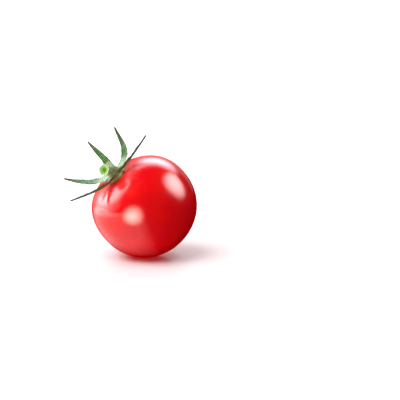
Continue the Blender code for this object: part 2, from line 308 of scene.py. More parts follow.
# The sepals
# Five narrow pointed green leaves of the flower's outer whorl, grown out of the collar. They dry after
# picking: they fold up along the midrib, twist and curl, and turn olive and then dark and wiry at the tips.
# Each has a roll in degrees, the width of its root in mm, how much it has of each look, and the four points
# that lead the curve of its midrib, as heading in degrees, reach and height in mm.
SEPALS = {
    "right": dict(
        roll=21, root=2.9, crumple=0.0, bloom=0.0, olive=0.65, russet_and_shade=0.8,
        route=((325, 2.3, 20.5), (333, 8.0, 21.4), (341, 14.0, 23.6), (345, 21.8, 25.8)),
    ),
    "top": dict(
        roll=-18, root=3.3, crumple=1.0, bloom=0.3, olive=0.0, russet_and_shade=0.0,
        route=((20, 2.3, 20.2), (22, 8.0, 20.5), (48, 15.0, 21.8), (50, 20.6, 30.4)),
    ),
    "back": dict(
        roll=10, root=2.9, crumple=0.2, bloom=0.0, olive=0.0, russet_and_shade=0.2,
        route=((84, 2.3, 20.45), (81, 7.5, 21.0), (90, 14.0, 27.5), (89, 21.2, 31.8)),
    ),
    "left": dict(
        roll=8, root=7.5, crumple=1.0, bloom=0.9, olive=0.0, russet_and_shade=0.0,
        route=((152, 2.3, 20.3), (153, 9.0, 19.8), (147, 15.7, 24.0), (146, 21.6, 29.9)),
    ),
    "low": dict(
        roll=-28, root=5.5, crumple=1.0, bloom=0.1, olive=0.6, russet_and_shade=1.0,
        route=((250, 2.3, 20.55), (222, 8.0, 20.4), (208, 14.5, 23.6), (205, 23.3, 28.6)),
    ),
}
SEPAL_WIDTH = 3.1 * MM
SEPAL_TIP_WIDTH = 0.6 * MM
SEPAL_WIDEST = 0.36  # where along the blade it reaches its full width and roll
SEPAL_TAPER = 1.35
SEPAL_FOLD = 0.18  # how far the edges lift above the midrib, as a share of the width
FOLD_CURVE = 1.4
SEPAL_RIPPLE = 0.07
RIPPLES = ((3.1, 1.0, 1.0, 0.3), (7.3, 0.6, 2.3, 0.45))  # waves in the length, height, shift, shift across
RIPPLE_SHIFT = 0.37  # from each sepal to the next
RIPPLE_RISE = 3  # the ripple is full from a third of the length
SEPAL_THICKNESS = 0.95 * MM  # at the root of the midrib
EDGE_THICKNESS = 0.5  # as a share of the midrib's
MIDRIB_WIDTH = 0.22
TIP_THINNING = 0.2
SEPAL_LENGTHWISE = 56
SEPAL_CROSSWISE = 12
CURVE_STEP = 0.01


def midrib_point(route, share):
    """A point of the cubic curve through heading, reach and height, in the upright fruit."""
    rest = 1 - share
    weights = (rest ** 3, 3 * rest ** 2 * share, 3 * rest * share ** 2, share ** 3)
    heading, reach, height = (sum(w * p[axis] for w, p in zip(weights, route)) for axis in range(3))
    heading = math.radians(heading)
    return Vector((reach * math.cos(heading), reach * math.sin(heading), height)) * MM


def sepal_width(share, root):
    """Runs from the root to the widest place, then tapers in a long curve to the tip."""
    if share < SEPAL_WIDEST:
        rise = math.sin(0.5 * math.pi * share / SEPAL_WIDEST)
        return root * MM + (SEPAL_WIDTH - root * MM) * rise
    fall = (share - SEPAL_WIDEST) / (1 - SEPAL_WIDEST)
    return SEPAL_TIP_WIDTH + (SEPAL_WIDTH - SEPAL_TIP_WIDTH) * (1 - fall ** SEPAL_TAPER)


def sepal_point(share, side, form, phase):
    """A point of the thin blade: share runs from root to tip, side from -1 to 1 across."""
    route = form["route"]
    ahead = midrib_point(route, share + CURVE_STEP) - midrib_point(route, share - CURVE_STEP)
    across = Vector((0, 0, 1)).cross(ahead).normalized()
    roll = math.radians(form["roll"]) * min(share / SEPAL_WIDEST, 1.0)
    across.rotate(Matrix.Rotation(-roll, 3, ahead))
    upward = ahead.cross(across).normalized()
    width = sepal_width(share, form["root"])
    lift = SEPAL_FOLD * width * abs(side) ** FOLD_CURVE
    ripple = sum(
        rise * math.sin(2 * math.pi * (waves * share + shift * phase + across_shift * (side > 0)))
        for waves, rise, shift, across_shift in RIPPLES
    )
    lift += SEPAL_RIPPLE * width * side ** 2 * ripple * min(RIPPLE_RISE * share, 1)
    return midrib_point(route, share) + across * side * width / 2 + upward * lift


sepals = []
for number, (name, form) in enumerate(SEPALS.items()):
    bpy.ops.object.select_all(action="DESELECT")
    bpy.ops.mesh.primitive_grid_add(x_subdivisions=SEPAL_LENGTHWISE, y_subdivisions=SEPAL_CROSSWISE, size=2)
    sepal = bpy.context.object
    sepal.name = f"sepal_{name}"
    thickening = sepal.vertex_groups.new(name="thickening")
    for vert in sepal.data.vertices:
        share = (vert.co.x + 1) / 2
        side = vert.co.y
        rib = EDGE_THICKNESS + (1 - EDGE_THICKNESS) * math.exp(-((side / MIDRIB_WIDTH) ** 2))
        thickening.add([vert.index], rib * (1 - TIP_THINNING * share ** 2), "REPLACE")
        vert.co = middle + turn @ sepal_point(share, side, form, RIPPLE_SHIFT * number)
    solid = sepal.modifiers.new("thickness", "SOLIDIFY")
    solid.thickness = SEPAL_THICKNESS
    solid.offset = 0
    solid.vertex_group = "thickening"
    solid.use_even_offset = True
    solid.material_offset = 1
    smooth = sepal.modifiers.new("smooth", "SUBSURF")
    smooth.levels = smooth.render_levels = 1
    bpy.ops.object.modifier_apply(modifier="thickness")
    bpy.ops.object.modifier_apply(modifier="smooth")
    bpy.ops.object.shade_smooth()
    for look in ("crumple", "bloom", "olive", "russet_and_shade"):
        amount = sepal.data.attributes.new(look, "FLOAT", "POINT")
        amount.data.foreach_set("value", [form[look]] * len(sepal.data.vertices))
    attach(sepal, "root")
    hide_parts("calyx")
    sepals.append(sepal)

# Drying leaf tissue: fresh green with lengthwise veins, under fine hairs that give some of the sepals a pale
# bloom. It is mint green and crumpled at the root, or russet along one edge there, a brown that is partly
# painted shade next to the skin; greyer towards the tip, and wiry and dark at the very end.
BLOTCH_WIDTH = 1.6 * MM
BLOTCH_DEPTH = 0.12 * MM
BLOTCH_SHADES = (0.6, 1.25)
RAGGEDNESS = 0.25  # how far the blotches shift where a zone ends, as a share of the blade
CRUMPLE_WIDTH = 0.4 * MM
CRUMPLE_ZONE = (0.42, 0.2)  # shares of the blade: where it begins, and is full
CRUMPLE_STRENGTH = 0.85
RUSSET_AND_SHADE_ZONE = (0.5, 0.25)
RUSSET_AND_SHADE_EDGE = (0.45, 0.7)  # shares of the width
MARGIN = (0.34, 0.5)  # off the midrib, as shares of the width
MARGIN_STRENGTH = 0.7
VEIN_DEPTH = 0.08 * MM
VEIN_STRENGTH = 0.4
# Where along the blade, as shares of its length, another colour comes in, how strongly, and which.
LEAF_ZONES = (
    (0.45, 0.90, 0.70, "#4C5A38"),
    (0.84, 0.97, 0.95, "#3F3A2E"),
)


def leaf_material(name, fresh, pale, vein):
    """A leaf surface whose veins follow the blade's own map: u runs from root to tip, v across."""
    material = bpy.data.materials.new(name)
    material.use_nodes = True
    tree = material.node_tree
    blade = add_node(tree, "ShaderNodeUVMap", {}).outputs[0]
    shares = add_node(tree, "ShaderNodeSeparateXYZ", {0: blade})
    along = shares.outputs["X"]
    across = shares.outputs["Y"]
    place = add_node(tree, "ShaderNodeTexCoord", {}).outputs["Object"]
    blotches = add_node(
        tree, "ShaderNodeTexNoise", {"Vector": place, "Scale": 1 / BLOTCH_WIDTH, "Detail": 3.0}
    ).outputs[0]
    shading = add_node(
        tree, "ShaderNodeMapRange", {0: blotches, 1: 0.35, 2: 0.7, 3: BLOTCH_SHADES[0], 4: BLOTCH_SHADES[1]}
    ).outputs[0]
    ragged = add_node(tree, "ShaderNodeMath", {0: blotches, 1: 0.5}, operation="SUBTRACT").outputs[0]
    ragged = add_node(
        tree, "ShaderNodeMath", {0: ragged, 1: RAGGEDNESS, 2: along}, operation="MULTIPLY_ADD"
    ).outputs[0]
    green = colour(fresh)
    for look, shade in (("bloom", pale), ("olive", "#56602A")):
        amount = add_node(tree, "ShaderNodeAttribute", {}, attribute_name=look).outputs["Fac"]
        green = add_node(
            tree, "ShaderNodeMix", {0: amount, 6: green, 7: colour(shade)}, data_type="RGBA"
        ).outputs[2]
    green = add_node(
        tree, "ShaderNodeMix", {0: 1.0, 6: green, 7: shading}, data_type="RGBA", blend_type="MULTIPLY"
    ).outputs[2]

    stretched = add_node(
        tree, "ShaderNodeVectorMath", {0: blade, 1: (1.2, 1.0, 1.0)}, operation="MULTIPLY"
    ).outputs[0]
    veins = add_node(
        tree,
        "ShaderNodeTexWave",
        {"Vector": stretched, "Scale": 1.1, "Distortion": 1.5, "Detail": 2.0, "Detail Scale": 1.5},
        bands_direction="Y",
    ).outputs["Fac"]
    veins = add_node(tree, "ShaderNodeMapRange", {0: veins, 1: 0.6, 2: 0.95, 4: VEIN_STRENGTH}).outputs[0]
    fading = add_node(tree, "ShaderNodeMapRange", {0: along, 1: 0.9, 2: 0.3}).outputs[0]
    veins = add_node(tree, "ShaderNodeMath", {0: veins, 1: fading}, operation="MULTIPLY").outputs[0]
    margin = add_node(tree, "ShaderNodeMath", {0: across, 1: 0.5}, operation="SUBTRACT").outputs[0]
    margin = add_node(tree, "ShaderNodeMath", {0: margin}, operation="ABSOLUTE").outputs[0]
    margin = add_node(
        tree, "ShaderNodeMapRange", {0: margin, 1: MARGIN[0], 2: MARGIN[1], 4: MARGIN_STRENGTH}
    ).outputs[0]
    for amount, shade in ((veins, vein), (margin, "#2A4F22")):
        green = add_node(
            tree, "ShaderNodeMix", {0: amount, 6: green, 7: colour(shade)}, data_type="RGBA"
        ).outputs[2]

    crumple = add_node(
        tree, "ShaderNodeTexNoise", {"Vector": place, "Scale": 1 / CRUMPLE_WIDTH, "Detail": 2.0}
    ).outputs[0]
    crumple = add_node(tree, "ShaderNodeMapRange", {0: crumple, 1: 0.4, 2: 0.62}).outputs[0]
    mint = add_node(
        tree, "ShaderNodeMix", {0: crumple, 6: colour("#74AA80"), 7: colour("#DEF2DA")}, data_type="RGBA"
    ).outputs[2]
    crumpled = add_node(tree, "ShaderNodeAttribute", {}, attribute_name="crumple").outputs["Fac"]
    zone = add_node(
        tree,
        "ShaderNodeMapRange",
        {0: ragged, 1: CRUMPLE_ZONE[0], 2: CRUMPLE_ZONE[1], 4: CRUMPLE_STRENGTH},
        interpolation_type="SMOOTHSTEP",
    ).outputs[0]
    zone = add_node(tree, "ShaderNodeMath", {0: zone, 1: crumpled}, operation="MULTIPLY").outputs[0]
    green = add_node(tree, "ShaderNodeMix", {0: zone, 6: green, 7: mint}, data_type="RGBA").outputs[2]
    # Russet brown along one edge near the root, which also serves as painted shade where the sepal meets the
    # fruit.
    dried_and_shaded = add_node(
        tree,
        "ShaderNodeMapRange",
        {0: ragged, 1: RUSSET_AND_SHADE_ZONE[0], 2: RUSSET_AND_SHADE_ZONE[1]},
        interpolation_type="SMOOTHSTEP",
    ).outputs[0]
    edge = add_node(
        tree, "ShaderNodeMapRange", {0: across, 1: RUSSET_AND_SHADE_EDGE[0], 2: RUSSET_AND_SHADE_EDGE[1]}
    ).outputs[0]
    russet_and_shade = add_node(tree, "ShaderNodeAttribute", {}, attribute_name="russet_and_shade").outputs["Fac"]
    for share in (russet_and_shade, edge):
        dried_and_shaded = add_node(tree, "ShaderNodeMath", {0: dried_and_shaded, 1: share}, operation="MULTIPLY").outputs[0]
    green = add_node(
        tree, "ShaderNodeMix", {0: dried_and_shaded, 6: green, 7: colour("#7E4A1A")}, data_type="RGBA"
    ).outputs[2]
    for start, end, most, shade in LEAF_ZONES:
        zone = add_node(
            tree,
            "ShaderNodeMapRange",
            {0: ragged, 1: start, 2: end, 4: most},
            interpolation_type="SMOOTHSTEP",
        ).outputs[0]
        green = add_node(
            tree, "ShaderNodeMix", {0: zone, 6: green, 7: colour(shade)}, data_type="RGBA"
        ).outputs[2]

    relief = add_node(
        tree, "ShaderNodeBump", {"Height": veins, "Strength": 0.6, "Distance": VEIN_DEPTH}
    ).outputs[0]
    relief = add_node(
        tree,
        "ShaderNodeBump",
        {"Height": blotches, "Strength": 0.5, "Distance": BLOTCH_DEPTH, "Normal": relief},
    ).outputs[0]
    shader = tree.nodes["Principled BSDF"]
    tree.links.new(green, shader.inputs["Base Color"])
    tree.links.new(relief, shader.inputs["Normal"])
    shader.inputs["Roughness"].default_value = 0.6
    shader.inputs["Specular IOR Level"].default_value = 0.2
    shader.inputs["Subsurface Weight"].default_value = 0.1
    shader.inputs["Subsurface Radius"].default_value = (0.4, 1.0, 0.2)
    shader.inputs["Subsurface Scale"].default_value = 0.3 * MM
    return material


upper_side = leaf_material("sepal upper side, downy leaf", "#256A10", "#7AA088", "#76A650")
underside = leaf_material("sepal underside, paler downy leaf", "#2F7018", "#84AA94", "#84B06A")
for sepal in sepals:
    sepal.data.materials.append(upper_side)
    sepal.data.materials.append(underside)

# The collar
# The fleshy base on which sepals and stalk are grown, seated in the fruit's dimple. It is lumpy and downy,
# green at the top and brownish where its surface has turned corky.
COLLAR_PROFILE = ((0.0, 3.6), (0.12, 3.95), (0.28, 3.7), (0.45, 3.05), (0.7, 2.8), (0.9, 2.65), (1.0, 2.2))
COLLAR_BASE = 0.1 * MM  # sunk a little into the skin
COLLAR_TOP = 22.5 * MM
COLLAR_LOBES = 5
COLLAR_LOBE_HEIGHT = 0.16 * MM
COLLAR_LUMPS = ((1.1 * MM, 0.22 * MM), (0.45 * MM, 0.11 * MM))  # width and height
CAP_REACH = 0.97  # how far in towards the middle the rings of a cap run


def ringed_cylinder(name, sides, rings, caps):
    """An upright cylinder of radius 1 from height 0 to 1, with rings cut round it and caps ringed inwards."""
    bpy.ops.object.select_all(action="DESELECT")
    bpy.ops.mesh.primitive_cylinder_add(vertices=sides, radius=1, depth=1, location=(0, 0, 0.5))
    made = bpy.context.object
    made.name = name
    bpy.ops.object.transform_apply(location=True)
    bpy.ops.object.mode_set(mode="EDIT")
    bpy.ops.mesh.select_all(action="DESELECT")
    bpy.ops.mesh.select_mode(type="EDGE")
    bpy.ops.object.mode_set(mode="OBJECT")
    mesh = made.data
    for edge in mesh.edges:
        first, second = (mesh.vertices[i].co for i in edge.vertices)
        edge.select = abs(first.z - second.z) > 0.5
    bpy.ops.object.mode_set(mode="EDIT")
    bpy.ops.mesh.subdivide(number_cuts=rings)
    bpy.ops.mesh.select_all(action="DESELECT")
    bpy.ops.mesh.select_mode(type="FACE")
    for end in (0.0, 1.0):
        bpy.ops.object.mode_set(mode="OBJECT")
        for face in mesh.polygons:
            face.select = abs(face.center.z - end) < 1e-6
        bpy.ops.object.mode_set(mode="EDIT")
        for ring in range(caps):
            bpy.ops.mesh.inset(thickness=CAP_REACH / caps)
        bpy.ops.mesh.select_all(action="DESELECT")
    bpy.ops.object.mode_set(mode="OBJECT")
    return made


def along_table(table, share):
    """Smooth value at a share along a short table of (share, value)."""
    for (start, first), (end, last) in zip(table, table[1:]):
        if share <= end:
            step = (share - start) / (end - start)
            return first + (last - first) * step * step * (3 - 2 * step)
    return table[-1][1]


collar = ringed_cylinder("collar", 80, 30, 6)
for vert in collar.data.vertices:
    heading = math.atan2(vert.co.y, vert.co.x)
    inward = min(math.hypot(vert.co.x, vert.co.y), 1.0)
    share = vert.co.z
    reach = along_table(COLLAR_PROFILE, share) * MM * inward
    floor = crown_height(reach) - COLLAR_BASE
    height = floor + (COLLAR_TOP - floor) * share
    spot = Vector((reach * math.cos(heading), reach * math.sin(heading), height))
    reach += sum(rise * noise.noise(spot / width) for width, rise in COLLAR_LUMPS) * inward
    reach += COLLAR_LOBE_HEIGHT * math.cos(COLLAR_LOBES * heading) * inward * (1 - share)
    vert.co = middle + turn @ Vector((reach * math.cos(heading), reach * math.sin(heading), height))
bpy.ops.object.shade_smooth()
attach(collar, "root")
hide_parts("calyx")

# Corky calyx tissue: mint green and downy at the foot, where the sepals start, and tan and olive with pale
# granules above, dull and rough.
CORK_PATCH_WIDTH = 1.3 * MM
CORK_GRAIN_WIDTH = 0.45 * MM
CORK_GRAIN_DEPTH = 0.1 * MM
CORK_GRAIN_STRENGTH = 0.5
FOOT_HEIGHTS = (20.7 * MM, 20.1 * MM)  # where the mint foot begins, and is full
FOOT_RAGGEDNESS = 1.2 * MM
FOOT_STRENGTH = 0.5
cork = bpy.data.materials.new("corky calyx base")
cork.use_nodes = True
tree = cork.node_tree
place = add_node(tree, "ShaderNodeTexCoord", {}).outputs["Object"]
upright = add_node(
    tree,
    "ShaderNodeMapping",
    {"Vector": place, "Location": middle, "Rotation": turn.to_euler()},
    vector_type="TEXTURE",
).outputs[0]
patches = add_node(
    tree, "ShaderNodeTexNoise", {"Vector": place, "Scale": 1 / CORK_PATCH_WIDTH, "Detail": 4.0}
).outputs[0]
mottling = add_node(tree, "ShaderNodeMapRange", {0: patches, 1: 0.4, 2: 0.6}).outputs[0]
tissue = add_node(
    tree, "ShaderNodeMix", {0: mottling, 6: colour("#5E9440"), 7: colour("#B6A45A")}, data_type="RGBA"
).outputs[2]
grains = add_node(
    tree, "ShaderNodeTexVoronoi", {"Vector": place, "Scale": 1 / CORK_GRAIN_WIDTH}
).outputs["Distance"]
pale_grains = add_node(
    tree, "ShaderNodeMapRange", {0: grains, 1: 0.45, 2: 0.15, 4: CORK_GRAIN_STRENGTH}
).outputs[0]
tissue = add_node(
    tree, "ShaderNodeMix", {0: pale_grains, 6: tissue, 7: colour("#D6CE98")}, data_type="RGBA"
).outputs[2]
height = add_node(tree, "ShaderNodeSeparateXYZ", {0: upright}).outputs["Z"]
height = add_node(
    tree, "ShaderNodeMath", {0: patches, 1: FOOT_RAGGEDNESS, 2: height}, operation="MULTIPLY_ADD"
).outputs[0]
foot = add_node(
    tree,
    "ShaderNodeMapRange",
    {0: height, 1: FOOT_HEIGHTS[0], 2: FOOT_HEIGHTS[1], 4: FOOT_STRENGTH},
    interpolation_type="SMOOTHSTEP",
).outputs[0]
tissue = add_node(
    tree, "ShaderNodeMix", {0: foot, 6: tissue, 7: colour("#9FC596")}, data_type="RGBA"
).outputs[2]
relief = add_node(
    tree, "ShaderNodeBump", {"Height": grains, "Strength": 0.7, "Distance": CORK_GRAIN_DEPTH}
).outputs[0]
shader = tree.nodes["Principled BSDF"]
tree.links.new(tissue, shader.inputs["Base Color"])
tree.links.new(relief, shader.inputs["Normal"])
shader.inputs["Roughness"].default_value = 0.75
shader.inputs["Subsurface Weight"].default_value = 0.1
shader.inputs["Subsurface Scale"].default_value = 0.5 * MM
collar.data.materials.append(cork)

# The stalk
# A short stub of the fruit's own stalk: thick where it leaves the collar, bent over at the swollen joint
# where ripe fruit breaks off, then cut square with a blade. It is ribbed and downy.
STALK_ROUTE = (
    ((0, 0, 20.2), 1.85),
    ((0, 0, 21.6), 2.0),
    ((0, -0.15, 22.9), 2.45),
    ((-0.1, -1.4, 24.4), 2.45),
    ((-0.4, -3.7, 24.8), 2.35),
    ((-1.1, -6.2, 26.2), 1.95),
    ((-1.95, -8.8, 28.3), 2.25),
)  # centre and radius, in mm, in the upright fruit
STALK_RIDGES = 5
RIDGE_HEIGHT = 0.12 * MM
RIDGE_TWIST = 2  # radians from root to cut
RIDGE_RISE = 4  # the ridges are full from a quarter of the length
STALK_LUMP_WIDTH = 0.8 * MM
STALK_LUMP_HEIGHT = 0.07 * MM
CUT_HOLLOW = 0.22 * MM  # how far the soft middle of the cut sinks below its rim
CUT_RIM = 0.45  # the slope down to it, as a share of the radius
CUT_GRAIN = 0.03 * MM
CUT_GRAINS = 5  # noise cells in the radius


def stalk_station(share):
    """Centre, direction and radius at a share of the stub, by a curve through the points of its route."""
    span = min(int(share * (len(STALK_ROUTE) - 1)), len(STALK_ROUTE) - 2)
    t = share * (len(STALK_ROUTE) - 1) - span
    weights = (
        -0.5 * t + t ** 2 - 0.5 * t ** 3,
        1 - 2.5 * t ** 2 + 1.5 * t ** 3,
        0.5 * t + 2 * t ** 2 - 1.5 * t ** 3,
        -0.5 * t ** 2 + 0.5 * t ** 3,
    )
    slopes = (
        -0.5 + 2 * t - 1.5 * t ** 2,
        -5 * t + 4.5 * t ** 2,
        0.5 + 4 * t - 4.5 * t ** 2,
        -t + 1.5 * t ** 2,
    )
    picks = [STALK_ROUTE[max(0, min(span + k - 1, len(STALK_ROUTE) - 1))] for k in range(4)]
    centre = sum((Vector(p[0]) * w for p, w in zip(picks, weights)), Vector())
    ahead = sum((Vector(p[0]) * w for p, w in zip(picks, slopes)), Vector())
    radius = sum(p[1] * w for p, w in zip(picks, weights))
    return centre * MM, ahead.normalized(), radius * MM


stalk = ringed_cylinder("stalk", 64, 60, 10)
for vert in stalk.data.vertices:
    angle = math.atan2(vert.co.y, vert.co.x)
    inward = min(math.hypot(vert.co.x, vert.co.y), 1.0)
    share = vert.co.z
    centre, ahead, radius = stalk_station(share)
    across = Vector((1, 0, 0))
    across = (across - ahead * across.dot(ahead)).normalized()
    upward = ahead.cross(across)
    outward = across * math.cos(angle) + upward * math.sin(angle)
    ribs = RIDGE_HEIGHT * math.cos(STALK_RIDGES * angle + RIDGE_TWIST * share) * min(RIDGE_RISE * share, 1)
    ribs += STALK_LUMP_HEIGHT * noise.noise((centre + outward * radius) / STALK_LUMP_WIDTH)
    step = 0.0
    if share > 0.999:
        step -= CUT_HOLLOW * (0.5 - 0.5 * math.cos(math.pi * min((1 - inward) / CUT_RIM, 1)))
        face_place = Vector((inward * math.cos(angle), inward * math.sin(angle), 0))
        step += CUT_GRAIN * noise.noise(face_place * CUT_GRAINS)
    vert.co = middle + turn @ (centre + outward * (radius + ribs) * inward + ahead * step)
bpy.ops.object.shade_smooth_by_angle(angle=math.radians(50))
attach(stalk, "root")
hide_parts("stem")

# Green stalk skin, dull and downy, and paler and yellower where it comes out of the corky collar.
BARK_PATCH_WIDTH = 1.5 * MM
BARK_GRAIN_WIDTH = 0.5 * MM
BARK_GRAIN_DEPTH = 0.06 * MM
CORKY_DIRECTION = (0, -0.6, 0.8)
CORKY_PLACES = (19.8 * MM, 18.6 * MM)  # along that direction: where the corky look begins, and is full
CORKY_RAGGEDNESS = 0.8 * MM
CORKY_STRENGTH = 0.85
bark = bpy.data.materials.new("downy stalk skin")
bark.use_nodes = True
tree = bark.node_tree
place = add_node(tree, "ShaderNodeTexCoord", {}).outputs["Object"]
patches = add_node(
    tree, "ShaderNodeTexNoise", {"Vector": place, "Scale": 1 / BARK_PATCH_WIDTH, "Detail": 4.0}
).outputs[0]
patches = add_node(tree, "ShaderNodeMapRange", {0: patches, 1: 0.35, 2: 0.65}).outputs[0]
tissue = add_node(
    tree, "ShaderNodeMix", {0: patches, 6: colour("#2E7A1E"), 7: colour("#62A04A")}, data_type="RGBA"
).outputs[2]
upright = add_node(
    tree,
    "ShaderNodeMapping",
    {"Vector": place, "Location": middle, "Rotation": turn.to_euler()},
    vector_type="TEXTURE",
).outputs[0]
along = add_node(
    tree, "ShaderNodeVectorMath", {0: upright, 1: CORKY_DIRECTION}, operation="DOT_PRODUCT"
).outputs["Value"]
along = add_node(
    tree, "ShaderNodeMath", {0: patches, 1: CORKY_RAGGEDNESS, 2: along}, operation="MULTIPLY_ADD"
).outputs[0]
corky = add_node(
    tree,
    "ShaderNodeMapRange",
    {0: along, 1: CORKY_PLACES[0], 2: CORKY_PLACES[1], 4: CORKY_STRENGTH},
    interpolation_type="SMOOTHSTEP",
).outputs[0]
tissue = add_node(
    tree, "ShaderNodeMix", {0: corky, 6: tissue, 7: colour("#869C48")}, data_type="RGBA"
).outputs[2]
grains = add_node(
    tree, "ShaderNodeTexVoronoi", {"Vector": place, "Scale": 1 / BARK_GRAIN_WIDTH}
).outputs["Distance"]
relief = add_node(
    tree, "ShaderNodeBump", {"Height": grains, "Strength": 0.5, "Distance": BARK_GRAIN_DEPTH}
).outputs[0]
shader = tree.nodes["Principled BSDF"]
tree.links.new(tissue, shader.inputs["Base Color"])
tree.links.new(relief, shader.inputs["Normal"])
shader.inputs["Roughness"].default_value = 0.6
shader.inputs["Sheen Weight"].default_value = 0.15
shader.inputs["Subsurface Weight"].default_value = 0.15
shader.inputs["Subsurface Scale"].default_value = 0.6 * MM
stalk.data.materials.append(bark)

# The fresh cut, wet and bright: a pale rim, a ring of lime green wood, and a darker pith with a small light
# core.
CUT_BANDS = (
    ("#6CA82C", 0.0),
    ("#4E9014", 0.18),
    ("#5E9E24", 0.40),
    ("#A2D262", 0.56),
    ("#76B83E", 0.70),
    ("#CDE2AA", 0.90),
    ("#B6CE90", 1.0),
)  # colours, and where each is full, as shares of the radius
RING_WAVER_WIDTH = 1.0 * MM
RING_WAVER = 0.5 * MM
CUT_DEPTH = 0.4 * MM  # faces this close to the cut's plane, and this square to it, are the cut's
CUT_SQUARENESS = 0.7
cut_centre, cut_direction, cut_radius = stalk_station(1.0)
cut_centre = middle + turn @ cut_centre
cut = bpy.data.materials.new("fresh cut stalk")
cut.use_nodes = True
tree = cut.node_tree
place = add_node(tree, "ShaderNodeTexCoord", {}).outputs["Object"]
from_centre = add_node(
    tree, "ShaderNodeVectorMath", {0: place, 1: cut_centre}, operation="SUBTRACT"
).outputs[0]
outward = add_node(tree, "ShaderNodeVectorMath", {0: from_centre}, operation="LENGTH").outputs["Value"]
waver = add_node(
    tree, "ShaderNodeTexNoise", {"Vector": place, "Scale": 1 / RING_WAVER_WIDTH, "Detail": 2.0}
).outputs[0]
outward = add_node(
    tree, "ShaderNodeMath", {0: waver, 1: RING_WAVER, 2: outward}, operation="MULTIPLY_ADD"
).outputs[0]
flesh = colour(CUT_BANDS[0][0])
for (shade, band), (last_shade, last_band) in zip(CUT_BANDS[1:], CUT_BANDS):
    blend = add_node(
        tree,
        "ShaderNodeMapRange",
        {0: outward, 1: last_band * cut_radius + RING_WAVER / 2, 2: band * cut_radius + RING_WAVER / 2},
        interpolation_type="SMOOTHSTEP",
    ).outputs[0]
    flesh = add_node(
        tree, "ShaderNodeMix", {0: blend, 6: flesh, 7: colour(shade)}, data_type="RGBA"
    ).outputs[2]
shader = tree.nodes["Principled BSDF"]
tree.links.new(flesh, shader.inputs["Base Color"])
shader.inputs["Roughness"].default_value = 0.3
shader.inputs["Subsurface Weight"].default_value = 0.3
shader.inputs["Subsurface Radius"].default_value = (0.6, 1.0, 0.3)
shader.inputs["Subsurface Scale"].default_value = 0.6 * MM
stalk.data.materials.append(cut)
cut_facing = turn @ cut_direction
for face in stalk.data.polygons:
    off_cut = (face.center - cut_centre).dot(cut_facing)
    if off_cut > -CUT_DEPTH and face.normal.dot(cut_facing) > CUT_SQUARENESS:
        face.material_index = 1

# The down
# Fine whitish hairs, less than a millimetre long, that stand all over stalk, collar and sepals and soften
# their edges. Each is a slim bent spike.
HAIR_RADIUS = 0.035 * MM  # drawn thicker than the real ones so that they show
HAIR_BEND = 0.35
HAIR_LEAN = 0.45
HAIR_RINGS = ((-0.05, 1.0), (0.5, 0.8))  # places along the hair, and its radius there, as shares


def grow_down(name, piece, count, length, seed):
    """A mesh of hairs that stand on random faces of a piece, more on the larger faces."""
    chance = random.Random(seed)
    faces = chance.choices(piece.data.polygons, weights=[face.area for face in piece.data.polygons], k=count)
    points = []
    sides = []
    for face in faces:
        lean = Vector([chance.uniform(-1, 1) for axis in range(3)])
        ahead = (face.normal + HAIR_LEAN * lean).normalized()
        bend = Vector([chance.uniform(-1, 1) for axis in range(3)]) * HAIR_BEND
        across = ahead.orthogonal().normalized()
        other = ahead.cross(across)
        reach = length * chance.uniform(0.5, 1.0)
        first = len(points)
        for way, wide in HAIR_RINGS:
            centre = face.center + ahead * reach * way + bend * reach * way * way
            for corner in range(3):
                angle = 2 * math.pi * corner / 3
                outward = across * math.cos(angle) + other * math.sin(angle)
                points.append(centre + outward * HAIR_RADIUS * wide)
        points.append(face.center + (ahead + bend) * reach)
        sides.append((first + 2, first + 1, first))
        for corner in range(3):
            after = (corner + 1) % 3
            sides.append((first + corner, first + after, first + after + 3, first + corner + 3))
            sides.append((first + corner + 3, first + after + 3, first + 6))
    mesh = bpy.data.meshes.new(name)
    mesh.from_pydata(points, [], sides)
    made = bpy.data.objects.new(name, mesh)
    bpy.context.collection.objects.link(made)
    return made


# Plant hair: clear and colourless, white where it catches the light.
down = bpy.data.materials.new("plant hair")
down.use_nodes = True
shader = down.node_tree.nodes["Principled BSDF"]
shader.inputs["Base Color"].default_value = colour("#C9D3B2")
shader.inputs["Roughness"].default_value = 0.4
shader.inputs["Subsurface Weight"].default_value = 0.2
shader.inputs["Subsurface Scale"].default_value = 0.1 * MM
growth = [
    ("stalk", stalk, 600, 0.8 * MM, "stem", "stalk"),
    ("collar", collar, 160, 0.6 * MM, "calyx", "sepal"),
]
growth += [(sepal.name, sepal, 260, 0.45 * MM, "calyx", "sepal") for sepal in sepals]
for seed, (name, piece, count, length, node, slot) in enumerate(growth):
    hairs = grow_down(f"down_{name}", piece, count, length, seed)
    hairs.data.materials.append(down)
    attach(hairs, "root")
    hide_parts(node)

# The table and the light
# A white table, a little glossy, with painted red bounce light close to the fruit and a painted red glow
# where it touches. One broad soft light from the upper left and a room brighter on that side light
# everything.
# What the skin mirrors is set apart: soft boxes to the right, to the left and behind, a small screen low in
# front, a wall and part of the table.
TABLE_SIDE = 8
PAINTED_BOUNCE_CENTRE = (3 * MM, -2 * MM, 0)
